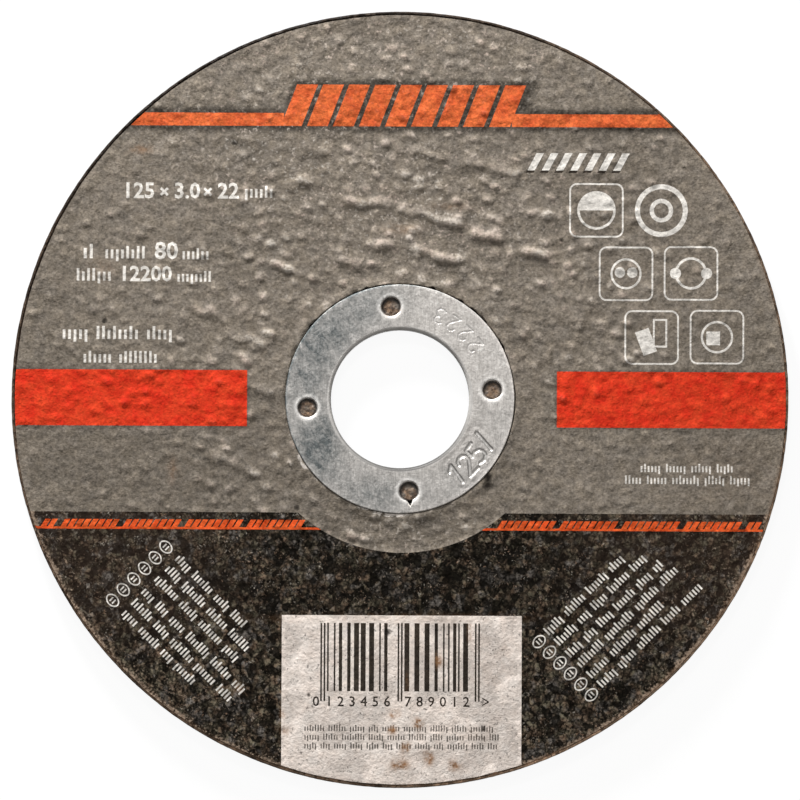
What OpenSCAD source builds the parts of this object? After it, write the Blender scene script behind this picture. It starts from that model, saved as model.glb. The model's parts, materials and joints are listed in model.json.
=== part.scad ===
// Flat cut-off wheel for an angle grinder: a bonded abrasive disc, a paper label glued
// to its front, and a pressed steel ring that lines the bore.
// The wheel lies on its bare back, with its axis along +Z and the label up.
// The origin is on the axis, in the plane of the back.

/* [Wheel] */
// Diameter over the cutting edge
wheel_d = 125; // [80:1:230]
// Thickness from the bare back to the face of the label
wheel_t = 3; // [2.4:0.1:6]
// Corner radius of the cutting edge, front and back
rim_r = 0.35; // [0.1:0.05:0.8]

/* [Label] */
// Thickness of the paper
label_t = 0.1; // [0.05:0.01:0.2]
// Bare band between the label and the cutting edge
label_margin = 0.4; // [0.1:0.1:6]

/* [Centre ring] */
// Bore of the ring, which sits on the grinder's flange
bore_d = 22.23; // [16:0.01:25.4]
// Width of the ring's flange, from the bore to its outer edge
flange_w = 7.3; // [6.4:0.1:12]
// Thickness of the steel sheet
sheet_t = 0.5; // [0.3:0.05:0.8]
// Inside radius of the bend between flange and collar
bend_r = 0.15; // [0.05:0.05:0.5]
// Rounding of the flange's outer edge, left by the blanking die
die_roll = 0.15; // [0.05:0.05:0.25]
// How far the collar stops short of the wheel's back
collar_gap = 0.3; // [0.1:0.1:0.8]
// Open seam between the flange's outer edge and the label
seam_w = 0.25; // [0.1:0.05:0.8]

/* [Pierced holes] */
// Number of pierced holes round the flange
hole_count = 4; // [3:1:8]
// Diameter of a hole
hole_d = 2.9; // [1.5:0.1:3.2]
// Distance from the bore to the middle of a hole
hole_inset = 3.8; // [3:0.1:4.2]
// Angle of the first hole from +X
hole_turn = 5.5; // [0:0.5:45]
// Rounding of a hole's mouth, where the sheet was drawn in
mouth_r = 0.45; // [0.2:0.05:0.5]
// Angle at which the rounded mouth meets the flange's face
mouth_angle = 20; // [15:1:45]
// Length of the barb that a hole leaves behind the flange
barb_l = 0.8; // [0.3:0.1:1.2]
// Thickness of a barb at its root
barb_root = 0.4; // [0.2:0.05:0.5]
// Thickness of a barb at its tip
barb_tip = 0.1; // [0.05:0.05:0.2]
// How far the abrasive has risen into a hole from the back of the flange
plug_rise = 0.2; // [0.05:0.05:0.25]

/* [Torn hole] */
// Which hole has torn outwards, counted from the first
torn_hole = 3; // [0:1:7]
// Length of the tear beyond the hole's edge
tear_l = 0.85; // [0.2:0.05:1.2]
// Width of the tear where it leaves the hole
tear_w = 0.8; // [0.2:0.05:1.2]

/* [Hidden] */
$fn = 128;

wheel_r = wheel_d / 2;
bore_r = bore_d / 2;
flange_r = bore_r + flange_w;
seat_r = flange_r + seam_w;
label_r = wheel_r - label_margin;
collar_r = bore_r + sheet_t;
bend_out_r = bend_r + sheet_t;

disc_top = wheel_t - label_t;
flange_back = wheel_t - sheet_t;
bend_z = wheel_t - bend_out_r;

hole_r = hole_d / 2;
hole_pitch_r = bore_r + hole_inset;
hole_step = 360 / hole_count;

// Spare length by which a cutting tool runs past the face that it opens
cut_past = 1;
// Depth by which a plug is rooted in the disc, so that the two are one solid
plug_root = 0.3;
// Height by which a barb is rooted in the flange, so that the two are one solid
barb_hold = sheet_t / 2;

// What is left of a square corner when it is rounded to radius r, with the corner at [r, r]
module corner_waste(r) {
    difference() {
        square(r + cut_past);
        square(r);
    }
    difference() {
        square(r);
        circle(r);
    }
}

// Half section of the plain disc, before the ring's seat is cut
module disc_section() {
    difference() {
        square([wheel_r, disc_top]);
        translate([wheel_r - rim_r, disc_top - rim_r]) corner_waste(rim_r);
        translate([wheel_r - rim_r, rim_r]) mirror([0, 1]) corner_waste(rim_r);
    }
}

// Half section of the space that the ring and its bore take out of the disc
module seat_section() {
    translate([0, -cut_past]) square([collar_r, wheel_t + 2 * cut_past]);
    translate([0, flange_back]) square([seat_r, sheet_t + cut_past]);
    difference() {
        translate([collar_r, bend_z]) square(bend_r);
        translate([collar_r + bend_r, bend_z]) circle(bend_r);
    }
}

// Half section of the pressed ring: flange, bend and collar
module ring_section() {
    difference() {
        translate([bore_r + bend_out_r, flange_back]) square([flange_w - bend_out_r, sheet_t]);
        translate([flange_r - die_roll, wheel_t - die_roll]) corner_waste(die_roll);
    }
    intersection() {
        translate([bore_r, bend_z]) square(bend_out_r);
        translate([bore_r + bend_out_r, bend_z]) difference() {
            circle(bend_out_r);
            circle(bend_r);
        }
    }
    translate([bore_r, collar_gap]) square([sheet_t, bend_z - collar_gap]);
}

// Puts its children on each hole's axis, with +X pointing away from the bore
module at_holes() {
    for (i = [0 : hole_count - 1])
        rotate(hole_turn + i * hole_step) translate([hole_pitch_r, 0, 0]) children();
}

// A barb with the hole through it still shut: a cone behind the flange, with a root
// of height h that reaches forward from the flange's back
module barb(h) {
    translate([0, 0, flange_back - barb_l])
        cylinder(h = barb_l, r1 = hole_r + barb_tip, r2 = hole_r + barb_root);
    translate([0, 0, flange_back]) cylinder(h = h, r = hole_r + barb_root);
}

// The straight bore of a hole, through flange and barb
module hole_bore() {
    translate([0, 0, flange_back - barb_l - cut_past])
        cylinder(h = barb_l + sheet_t + 2 * cut_past, r = hole_r);
}

// The drawn-in mouth of a hole, in the flange's face
module hole_mouth() {
    mouth_l = mouth_r * cos(mouth_angle);
    translate([0, 0, wheel_t - mouth_l]) rotate_extrude() difference() {
        square([hole_r + mouth_r, mouth_l + cut_past]);
        translate([hole_r + mouth_r, 0]) circle(mouth_r);
        translate([hole_r + mouth_r * (1 - sin(mouth_angle)), mouth_l])
            square([mouth_r, cut_past]);
    }
}

// The wedge-shaped tear that runs out of a hole
module tear() {
    translate([0, 0, flange_back - barb_l - cut_past])
        linear_extrude(barb_l + sheet_t + 2 * cut_past)
            polygon([[0, -tear_w / 2], [hole_r, -tear_w / 2], [hole_r + tear_l, 0],
                     [hole_r, tear_w / 2], [0, tear_w / 2]]);
}

// The abrasive that was pressed up into a hole, before the barb's cavity trims it to the bore
module plug() {
    translate([0, 0, flange_back - plug_root])
        cylinder(h = plug_root + plug_rise, r = hole_r + barb_root / 2);
}

module abrasive_disc() {
    color("#75695c") difference() {
        union() {
            rotate_extrude() difference() {
                disc_section();
                seat_section();
            }
            at_holes() plug();
        }
        at_holes() difference() {
            barb(sheet_t);
            hole_bore();
        }
    }
}

module label() {
    color("#7f766c") translate([0, 0, disc_top]) difference() {
        cylinder(h = label_t, r = label_r);
        translate([0, 0, -cut_past]) cylinder(h = label_t + 2 * cut_past, r = seat_r);
    }
}

module centre_ring() {
    color("#c3beb7") difference() {
        union() {
            rotate_extrude() ring_section();
            at_holes() barb(barb_hold);
        }
        at_holes() hole_bore();
        at_holes() hole_mouth();
        rotate(hole_turn + torn_hole * hole_step) translate([hole_pitch_r, 0, 0]) tear();
    }
}

abrasive_disc();
label();
centre_ring();
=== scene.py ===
# A cut-off wheel that lies on a white floor, label up, seen from above.
# Lengths are in millimetres in the wheel's frame, and become metres when a mesh is made.
import json
import math

import bmesh
import bpy
import numpy as np
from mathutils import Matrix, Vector
from mathutils.geometry import delaunay_2d_cdt


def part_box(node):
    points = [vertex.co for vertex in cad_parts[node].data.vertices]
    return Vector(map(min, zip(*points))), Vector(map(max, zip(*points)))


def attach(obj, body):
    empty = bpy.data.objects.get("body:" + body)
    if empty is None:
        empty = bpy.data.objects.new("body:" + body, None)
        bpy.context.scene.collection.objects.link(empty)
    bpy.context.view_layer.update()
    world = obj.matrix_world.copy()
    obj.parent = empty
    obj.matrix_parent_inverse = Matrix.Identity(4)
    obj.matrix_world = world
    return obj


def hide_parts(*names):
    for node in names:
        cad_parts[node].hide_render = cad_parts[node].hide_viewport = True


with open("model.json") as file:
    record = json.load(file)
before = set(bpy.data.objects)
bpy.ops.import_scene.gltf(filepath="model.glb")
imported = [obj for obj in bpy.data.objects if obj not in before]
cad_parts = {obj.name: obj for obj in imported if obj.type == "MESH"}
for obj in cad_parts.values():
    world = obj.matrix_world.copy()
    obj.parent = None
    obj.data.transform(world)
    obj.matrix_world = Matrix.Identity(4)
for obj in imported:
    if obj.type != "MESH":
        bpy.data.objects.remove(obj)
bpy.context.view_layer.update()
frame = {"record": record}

MM = 0.001
TAU = 2 * math.pi


def node_size(name):
    """Lowest and highest corners of a CAD node, in millimetres."""
    low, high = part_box(name)
    return np.array(low) / MM, np.array(high) / MM


# Sizes that come from the frame
disc_low, disc_high = node_size("abrasive_disc")
_, label_high = node_size("label")
ring_low, ring_high = node_size("centre_ring")
WHEEL_R = min(-disc_low[0], -disc_low[1], disc_high[0], disc_high[1])
FACE_Z = label_high[2]
DISC_TOP = disc_high[2]
LABEL_R = label_high[1]
FLANGE_R = ring_high[1]
COLLAR_END = ring_low[2]
BORE_R = next(m["dims"]["r_mm"] for m in frame["record"]["mounts"] if m["name"] == "bore")

# Sizes of the ring, its seat and the wheel's rim
SHEET_T = 0.5
BEND_R = 0.15
BEND_OUT_R = BEND_R + SHEET_T
DIE_ROLL = 0.15
COLLAR_R = BORE_R + SHEET_T
FLANGE_BACK = FACE_Z - SHEET_T
FACE_INNER_R = BORE_R + BEND_OUT_R
FACE_OUTER_R = FLANGE_R - DIE_ROLL
SEAM = 0.25
SEAT_R = FLANGE_R + SEAM
HOLE_R = 1.45
HOLE_PITCH_R = BORE_R + 3.8
HOLE_ANGLES = [math.radians(5.5 + 90 * i) for i in range(4)]
HOLE_CENTRES = [HOLE_PITCH_R * np.array((math.cos(a), math.sin(a))) for a in HOLE_ANGLES]
MOUTH_R = 0.45
MOUTH_ANGLE = math.radians(20)
MOUTH_OPENING = MOUTH_R * (1 - math.sin(MOUTH_ANGLE))
BARB_L = 0.8
BARB_ROOT = 0.4
BARB_TIP = 0.1
TORN_HOLE = 3
TEAR_L = 0.85
TEAR_HALF_ANGLE = 0.3
PLUG_RISE = 0.2
RIM_R = 0.35


# Repeatable noise

def lattice_value(ix, iy, seed):
    """A repeatable value from -1 to 1 for each lattice point."""
    mixed = (ix.astype(np.int64) * 374761393 + iy.astype(np.int64) * 668265263 + seed * 69069) & 0xFFFFFFFF
    mixed = ((mixed ^ (mixed >> 13)) * 1274126177) & 0xFFFFFFFF
    return ((mixed ^ (mixed >> 16)) & 0xFFFF) / 32767.5 - 1


def noise(x, y, size, seed):
    """Smooth noise from -1 to 1, with bumps about size across."""
    gx, gy = x / size, y / size
    ix, iy = np.floor(gx), np.floor(gy)
    wx, wy = (f * f * (3 - 2 * f) for f in (gx - ix, gy - iy))
    near = lattice_value(ix, iy, seed) * (1 - wx) + lattice_value(ix + 1, iy, seed) * wx
    far = lattice_value(ix, iy + 1, seed) * (1 - wx) + lattice_value(ix + 1, iy + 1, seed) * wx
    return near * (1 - wy) + far * wy


def fractal(x, y, size, seed, octaves=3):
    """Noise with finer noise on it, each octave half as wide and half as strong."""
    return sum(noise(x, y, size / 2**k, seed + k) / 2**k for k in range(octaves))


def wavered(x, y, size, seed, off_x, off_y):
    """Places shifted both ways by noise."""
    return x + off_x * noise(x, y, size, seed), y + off_y * noise(x, y, size, seed + 1)


def ramp(low, high, value):
    """0 before low, 1 past high, and a smooth slope between them."""
    share = np.clip((value - low) / (high - low), 0, 1)
    return share * share * (3 - 2 * share)


def hills(x, y, spots):
    """The sum of soft oval hills: each spot is a middle, a reach both ways and a height."""
    total = np.zeros_like(x)
    for mx, my, reach_x, reach_y, tall in spots:
        total += tall * np.exp(-((x - mx) / reach_x) ** 2 - ((y - my) / reach_y) ** 2)
    return total


# Outlines and flat meshes

def around(count):
    """Angles of so many points round a circle."""
    return np.arange(count) * TAU / count


def polar(turn, radius):
    """Flat points at angles and radii."""
    return np.column_stack([radius * np.cos(turn), radius * np.sin(turn)])


def circle(radius, count, middle=(0, 0)):
    """A closed loop of points round a circle."""
    return polar(around(count), radius) + middle


def box_loop(x0, y0, x1, y1):
    return np.array([(x0, y0), (x1, y0), (x1, y1), (x0, y1)], float)


def turned(points, angle, start=(0, 0)):
    """Points turned about the origin and then moved to start."""
    c, s = math.cos(angle), math.sin(angle)
    x, y = np.asarray(points, float).T
    return np.column_stack([x * c - y * s, x * s + y * c]) + start


def divided(loop, step):
    """The closed loop with points added, so that no side is longer than step."""
    out = []
    for a, b in zip(loop, np.roll(loop, -1, axis=0)):
        count = max(1, math.ceil(np.hypot(*(b - a)) / step))
        out += [a + (b - a) * i / count for i in range(count)]
    return np.array(out)


def between(points, inner, outer):
    """True for each point between two radii."""
    radius = np.hypot(*points.T)
    return (radius > inner) & (radius < outer)


def inside_loops(points, loops):
    """True for each point inside an odd number of the loops."""
    hits = np.zeros(len(points), int)
    x, y = points[:, 0], points[:, 1]
    for loop in loops:
        low, high = loop.min(axis=0), loop.max(axis=0)
        near = np.flatnonzero((x > low[0]) & (x < high[0]) & (y > low[1]) & (y < high[1]))
        if not len(near):
            continue
        px, py = x[near], y[near]
        for (x1, y1), (x2, y2) in zip(loop, np.roll(loop, -1, axis=0)):
            if y1 != y2:
                hits[near] += ((y1 > py) != (y2 > py)) & (px < (x2 - x1) * (py - y1) / (y2 - y1) + x1)
    return hits % 2 == 1


def hex_grid(radius, step):
    """Points of a triangular grid over a disc."""
    rows = np.arange(-radius, radius, step * math.sqrt(3) / 2)
    points = []
    for i, y in enumerate(rows):
        x = np.arange(-radius, radius, step) + (i % 2) * step / 2
        points.append(np.column_stack([x, np.full_like(x, y)]))
    return np.vstack(points)


def clear_of(points, others, gap):
    """The points that keep about gap away from the other points."""
    taken = set()
    for cx, cy in np.floor(others / gap).astype(int):
        taken.update((cx + i, cy + j) for i in (-1, 0, 1) for j in (-1, 0, 1))
    cells = np.floor(points / gap).astype(int)
    return points[[(cx, cy) not in taken for cx, cy in cells]]


def triangulate(borders, lines=(), filling=None):
    """Triangles over the area inside the border loops, with edges along the lines.

    Each line is a list of points and whether it is closed. Returns points and triangles.
    """
    points, edges = [], []
    for loop, closed in [(b, True) for b in borders] + list(lines):
        first = len(points)
        points += [tuple(p) for p in loop]
        edges += [(first + i, first + i + 1) for i in range(len(loop) - 1)]
        if closed:
            edges.append((first + len(loop) - 1, first))
    if filling is not None:
        points += [tuple(p) for p in filling]
    made = delaunay_2d_cdt([Vector(p) for p in points], edges, [], 0, 1e-5)
    flat = np.array([tuple(v) for v in made[0]])
    triangles = np.array(made[2], int)
    middles = flat[triangles].mean(axis=1)
    return flat, triangles[inside_loops(middles, borders)]


def lifted(points, z):
    """Flat points at one height, or at a height each."""
    return np.column_stack([points, np.broadcast_to(z, len(points))])


def add_object(name, data):
    made = bpy.data.objects.new(name, data)
    bpy.context.scene.collection.objects.link(made)
    return made


class Patches:
    """Collects surface patches that share edges, and makes one closed mesh of them."""

    def __init__(self):
        self.points, self.faces, self.slots = [], [], []

    def add(self, points, faces, slots=0):
        first = sum(len(p) for p in self.points)
        self.points.append(np.asarray(points, float))
        self.faces += [tuple(int(i) + first for i in face) for face in faces]
        self.slots += list(np.broadcast_to(slots, len(faces)))

    def strip(self, rows, slot=0):
        """Joins closed rows of as many points each, one after the other."""
        count = len(rows[0])
        faces = []
        for start in range(0, count * (len(rows) - 1), count):
            for i in range(count):
                j = (i + 1) % count
                faces.append((start + i, start + j, start + count + j, start + count + i))
        self.add(np.vstack(rows), faces, slot)

    def flat(self, points, triangles, height, slots=0):
        """A patch over flat points, with a height or an array of heights."""
        self.add(lifted(points, height), triangles, slots)

    def build(self, name, materials, smooth_angle):
        mesh = bpy.data.meshes.new(name)
        mesh.from_pydata(np.vstack(self.points) * MM, [], self.faces)
        for look in materials:
            mesh.materials.append(look)
        mesh.polygons.foreach_set("material_index", np.array(self.slots, np.int32))
        work = bmesh.new()
        work.from_mesh(mesh)
        bmesh.ops.remove_doubles(work, verts=work.verts, dist=1e-7)
        bmesh.ops.recalc_face_normals(work, faces=work.faces)
        for face in work.faces:
            face.smooth = True
        for edge in work.edges:
            edge.smooth = edge.is_manifold and edge.calc_face_angle(0) < smooth_angle
        work.to_mesh(mesh)
        work.free()
        return add_object(name, mesh)


def turned_rows(profile, count):
    """Rows for a strip: each (radius, height) of the profile turned about the axis."""
    return [lifted(circle(r, count), z) for r, z in profile]


def arc(middle, radius, start, end, count):
    """Profile points on an arc, with angles in degrees."""
    turns = np.radians(np.linspace(start, end, count))
    return [(middle[0] + radius * math.cos(t), middle[1] + radius * math.sin(t)) for t in turns]


def places_of(piece):
    """The flat places of a piece's points, in millimetres."""
    mesh = piece.data
    places = np.empty(len(mesh.vertices) * 3)
    mesh.vertices.foreach_get("co", places)
    return places.reshape(-1, 3)[:, :2] / MM


def store(piece, **measures):
    """Keeps values on a piece's points, for its materials."""
    for name, values in measures.items():
        layer = piece.data.attributes.new(name, "FLOAT", "POINT")
        layer.data.foreach_set("value", np.asarray(values, np.float32))


# Materials

def rgb(red, green, blue):
    return (red, green, blue, 1.0)


RUST = rgb(0.29, 0.15, 0.07)
WORN = rgb(0.56, 0.51, 0.45)
WORN_PINK = rgb(0.55, 0.44, 0.37)
TORN_PAPER = rgb(0.58, 0.53, 0.48)
PIT = rgb(0.014, 0.011, 0.009)


class Shader:
    """A node tree, with a short call for each kind of node that it uses."""

    def __init__(self, owner, surface="Principled BSDF", place="Object"):
        owner.use_nodes = True
        self.owner = owner
        self.tree = owner.node_tree
        self.surface = self.tree.nodes[surface]
        self.place = self.node("TexCoord", {}).outputs[place]

    def node(self, kind, inputs, **settings):
        made = self.tree.nodes.new("ShaderNode" + kind)
        for key, value in settings.items():
            setattr(made, key, value)
        for key, value in inputs.items():
            self.set(made.inputs[key], value)
        return made

    def set(self, socket, value):
        if isinstance(value, bpy.types.NodeSocket):
            self.tree.links.new(value, socket)
        else:
            socket.default_value = value

    def finish(self, **inputs):
        for key, value in inputs.items():
            self.set(self.surface.inputs[key.replace("_", " ")], value)
        return self.owner

    def stretched(self, size, turn=0.0):
        """The place on the object, in units of so many millimetres along axes turned about Z."""
        inputs = {"Vector": self.place, "Scale": tuple(s * MM for s in size), "Rotation": (0, 0, turn)}
        return self.node("Mapping", inputs, vector_type="TEXTURE").outputs["Vector"]

    def noise(self, size, detail=2.0, seed=0.0, vector=None, output="Fac"):
        """Noise from 0 to 1 with bumps about size millimetres across."""
        place = vector if vector else self.stretched((1, 1, 1))
        inputs = {"Vector": place, "W": seed, "Scale": 1 / size, "Detail": detail, "Roughness": 0.6}
        return self.node("TexNoise", inputs, noise_dimensions="4D").outputs[output]

    def cells(self, size, output="Color", vector=None, feature="F1"):
        """Cells about size millimetres across, each with its own random colour."""
        place = vector if vector else self.stretched((1, 1, 1))
        return self.node("TexVoronoi", {"Vector": place, "Scale": 1 / size}, feature=feature).outputs[output]

    def split(self, colour):
        """The red, green and blue of a colour."""
        return self.node("SeparateColor", {"Color": colour}).outputs[:3]

    def map(self, value, low, high, to_low=0.0, to_high=1.0):
        inputs = {"Value": value, "From Min": low, "From Max": high, "To Min": to_low, "To Max": to_high}
        return self.node("MapRange", inputs).outputs["Result"]

    def clouds(self, look, low, high, to_low=0.0, to_high=1.0):
        """Noise of a size, a detail and a seed, mapped from low and high to other values."""
        return self.map(self.noise(*look), low, high, to_low, to_high)

    def math(self, operation, *values):
        return self.node("Math", dict(enumerate(values)), operation=operation).outputs["Value"]

    def times(self, first, *others):
        """The product of all the values."""
        for value in others:
            first = self.math("MULTIPLY", first, value)
        return first

    def mix(self, share, a, b, blend="MIX"):
        return self.node("Mix", {0: share, 6: a, 7: b}, data_type="RGBA", blend_type=blend).outputs[2]

    def scaled(self, colour, factor):
        """A colour times a grey factor, which may pass 1."""
        grey = self.node("CombineColor", {"Red": factor, "Green": factor, "Blue": factor}).outputs["Color"]
        return self.mix(1.0, colour, grey, "MULTIPLY")

    def attribute(self, name):
        return self.node("Attribute", {}, attribute_name=name).outputs["Fac"]

    def stained(self, colour, size, seed, full):
        """A colour that turns to rust where the piece is stained."""
        share = self.times(self.attribute("stain"), self.clouds((size, 3.0, seed), 0.3, full))
        return self.mix(share, colour, RUST)

    def bump(self, height, depth):
        """A bump of so many millimetres."""
        inputs = {"Height": height, "Distance": depth * MM, "Strength": 1.0}
        return self.node("Bump", inputs).outputs["Normal"]


def material(name):
    return Shader(bpy.data.materials.new(name))


def printed_paper(name, colour, other, speckle, mottle, wear_and_highlight, shadow=0.0, specks=0.7):
    """Ink in two near hues on rough paper: speckled, with painted shade in the low places and a painted
    highlight on the crests, worn pale on the crests in spots, stained brown in places.
    """
    s = material(name)
    patches = s.noise(1.2, 3.0, 2.0)
    crest = s.attribute("crest")
    tone = s.times(s.clouds((0.40, 3.0, 1.0), 0.3, 0.7, 1 - speckle, 1 + speckle),
                   s.map(patches, 0.3, 0.7, 1 - mottle, 1 + mottle),
                   # painted shade: the low places of the relief are darker; painted highlight: the crests
                   # are paler
                   s.map(crest, -0.2, 0.1, 0.4, 1.0),
                   s.map(crest, 0.30, 0.75, 1.0, 1.0 + 0.6 * wear_and_highlight),
                   s.clouds((0.5, 2.0, 21.0), 0.31, 0.39, specks, 1.0))
    if shadow:
        dark = s.times(s.attribute("shade"), s.clouds((0.8, 3.0, 8.0), 0.3, 0.6, 0.6, 1.0))
        tone = s.times(tone, s.map(dark, 0, 1, 1.0, 1 - shadow), s.attribute("tone"))
    ink = s.scaled(s.mix(s.clouds((1.7, 2.0, 6.0), 0.35, 0.65), colour, other), tone)
    # ink worn off the crests in spots, to the bare paper's pale colour, which also works as a painted
    # highlight there
    rubbed = s.times(s.map(crest, 0.45, 0.85), s.clouds((0.45, 2.0, 9.0), 0.36, 0.6))
    flecks = s.times(s.attribute("flecked"), s.clouds((0.62, 3.0, 20.0), 0.56, 0.70))
    bare = s.mix(s.clouds((5.0, 1.0, 10.0), 0.4, 0.6), WORN, WORN_PINK)
    ink = s.mix(s.times(s.math("MAXIMUM", rubbed, flecks), wear_and_highlight), ink, bare)
    torn = s.map(s.times(s.attribute("torn"), s.noise(1.3, 3.0, 4.0)), 0.44, 0.54)
    ink = s.stained(s.mix(torn, ink, TORN_PAPER), 0.8, 5.0, 0.6)
    ink = s.mix(s.map(crest, -0.3, -0.9, 0.0, 0.85), ink, PIT)
    return s.finish(Base_Color=ink, Roughness=s.map(patches, 0.3, 0.7, 0.58, 0.72),
                    Normal=s.bump(s.noise(0.5, 3.0, 7.0), 0.14), Specular_IOR_Level=0.06)


def black_print():
    """Thin black ink over gravelly paper: patchy, with olive, brown and grey lumps, painted sheen on the
    lumps and painted shade in the low places, and a few pale grains.
    """
    s = material("label_black")
    fine = s.noise(0.42, 3.0, 11.0)
    wobble = s.mix(0.45, s.stretched((1, 1.15, 1)), s.noise(0.8, 3.0, 24.0, output="Color"), "LINEAR_LIGHT")
    stones = s.split(s.cells(0.88, vector=wobble))[0]
    gaps = s.cells(0.88, "Distance", wobble, "DISTANCE_TO_EDGE")
    # painted sheen and shade: the lumps of the relief are lighter, its low places darker
    level = s.times(s.map(stones, 0.2, 1.0, 0.08, 1.1), s.map(fine, 0.37, 0.63, 0.1, 1.35),
                    s.map(gaps, 0.0, 0.2, 0.2, 1.0), s.attribute("tone"),
                    s.map(s.attribute("crest"), 0.10, 0.45, 0.46, 0.9))
    hue = s.mix(s.clouds((1.4, 1.0, 15.0), 0.35, 0.65), rgb(0.155, 0.135, 0.094), rgb(0.165, 0.112, 0.076))
    hue = s.mix(s.clouds((1.9, 1.0, 18.0), 0.5, 0.62), hue, rgb(0.160, 0.142, 0.126))
    deep = s.mix(s.attribute("thin"), rgb(0.0032, 0.0026, 0.0018), rgb(0.016, 0.0105, 0.0075))
    ink = s.mix(level, deep, hue)
    specks = s.times(s.clouds((2.4, 2.0, 12.0), 0.46, 0.62), s.clouds((0.36, 2.0, 13.0), 0.57, 0.68), 0.8)
    pale = s.mix(s.clouds((1.0, 1.0, 14.0), 0.4, 0.6), rgb(0.28, 0.18, 0.12), rgb(0.36, 0.33, 0.28))
    ink = s.mix(specks, ink, pale)
    worn = s.math("ADD", s.attribute("worn"), s.map(fine, 0.3, 0.7, -0.45, 0.45))
    worn = s.math("ADD", worn, s.clouds((1.5, 3.0, 16.0), 0.3, 0.7, -0.2, 0.2))
    brown = s.mix(s.clouds((0.3, 2.0, 23.0), 0.35, 0.65), rgb(0.14, 0.10, 0.072), rgb(0.39, 0.30, 0.225))
    ink = s.stained(s.mix(s.map(worn, 0.45, 0.85), ink, brown), 0.8, 5.0, 0.6)
    return s.finish(Base_Color=ink, Roughness=s.map(fine, 0.3, 0.7, 0.5, 0.7),
                    Normal=s.bump(s.noise(0.5, 3.0, 17.0), 0.14), Specular_IOR_Level=0.03)


def bonded_grain():
    """Bonded grain: near-black resin with grey and brown grains, browner where the edge is worn."""
    s = material("bonded_grain")
    red, green, blue = s.split(s.cells(0.55))
    dark = s.mix(red, rgb(0.0016, 0.0013, 0.001), rgb(0.007, 0.005, 0.004))
    brown = s.mix(red, rgb(0.13, 0.085, 0.056), rgb(0.48, 0.32, 0.215))
    brown = s.scaled(brown, s.map(s.attribute("bald"), 0, 1, 1.0, 2.2))
    worn = s.times(s.attribute("worn"), s.clouds((3.0, 3.0, 29.0), 0.3, 0.6, 0.3, 1.0))
    colour = s.mix(worn, dark, brown)
    colour = s.mix(s.times(s.map(green, 0.9, 0.95), worn), colour, rgb(0.30, 0.23, 0.17))
    height = s.math("ADD", s.cells(0.55, "Distance"), s.noise(0.25, 3.0, 31.0))
    return s.finish(Base_Color=colour, Roughness=s.map(blue, 0, 1, 0.5, 0.85),
                    Normal=s.bump(height, 0.08), Specular_IOR_Level=0.1)


def hole_filling():
    """Brown grain and resin that fills the ring's pierced holes, with painted shadow along the holes' walls.
    """
    s = material("hole_filling")
    red, _, blue = s.split(s.cells(0.42))
    colour = s.mix(red, rgb(0.055, 0.032, 0.02), rgb(0.26, 0.165, 0.10))
    colour = s.mix(s.clouds((2.0, 2.0, 19.0), 0.45, 0.65), colour, rgb(0.17, 0.145, 0.12))
    colour = s.scaled(colour, s.clouds((0.3, 2.0, 21.0), 0.3, 0.7, 0.65, 1.2))
    # painted shadow: the filling is darker near the wall of its hole
    colour = s.scaled(colour, s.map(s.attribute("wall"), 0, 1, 1.0, 0.12))
    return s.finish(Base_Color=colour, Roughness=s.map(blue, 0, 1, 0.5, 0.8),
                    Normal=s.bump(s.noise(0.3, 2.0, 22.0), 0.08))


def bare_back():
    """The moulded back: glass threads under resin, with dark grain in the gaps between them."""
    s = material("moulded_back")
    grain = s.mix(s.split(s.cells(0.7))[0], rgb(0.02, 0.016, 0.013), rgb(0.12, 0.098, 0.078))
    resin = s.mix(s.noise(0.5, 3.0, 37.0), rgb(0.085, 0.066, 0.05), rgb(0.19, 0.16, 0.125))
    thread = s.map(s.attribute("thread"), 0.25, 0.8)
    colour = s.scaled(s.mix(thread, grain, resin), s.clouds((14.0, 2.0, 41.0), 0.3, 0.7, 0.82, 1.15))
    return s.finish(Base_Color=colour, Roughness=s.map(thread, 0, 1, 0.75, 0.5),
                    Normal=s.bump(s.noise(0.4, 3.0, 43.0), 0.09))


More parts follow.
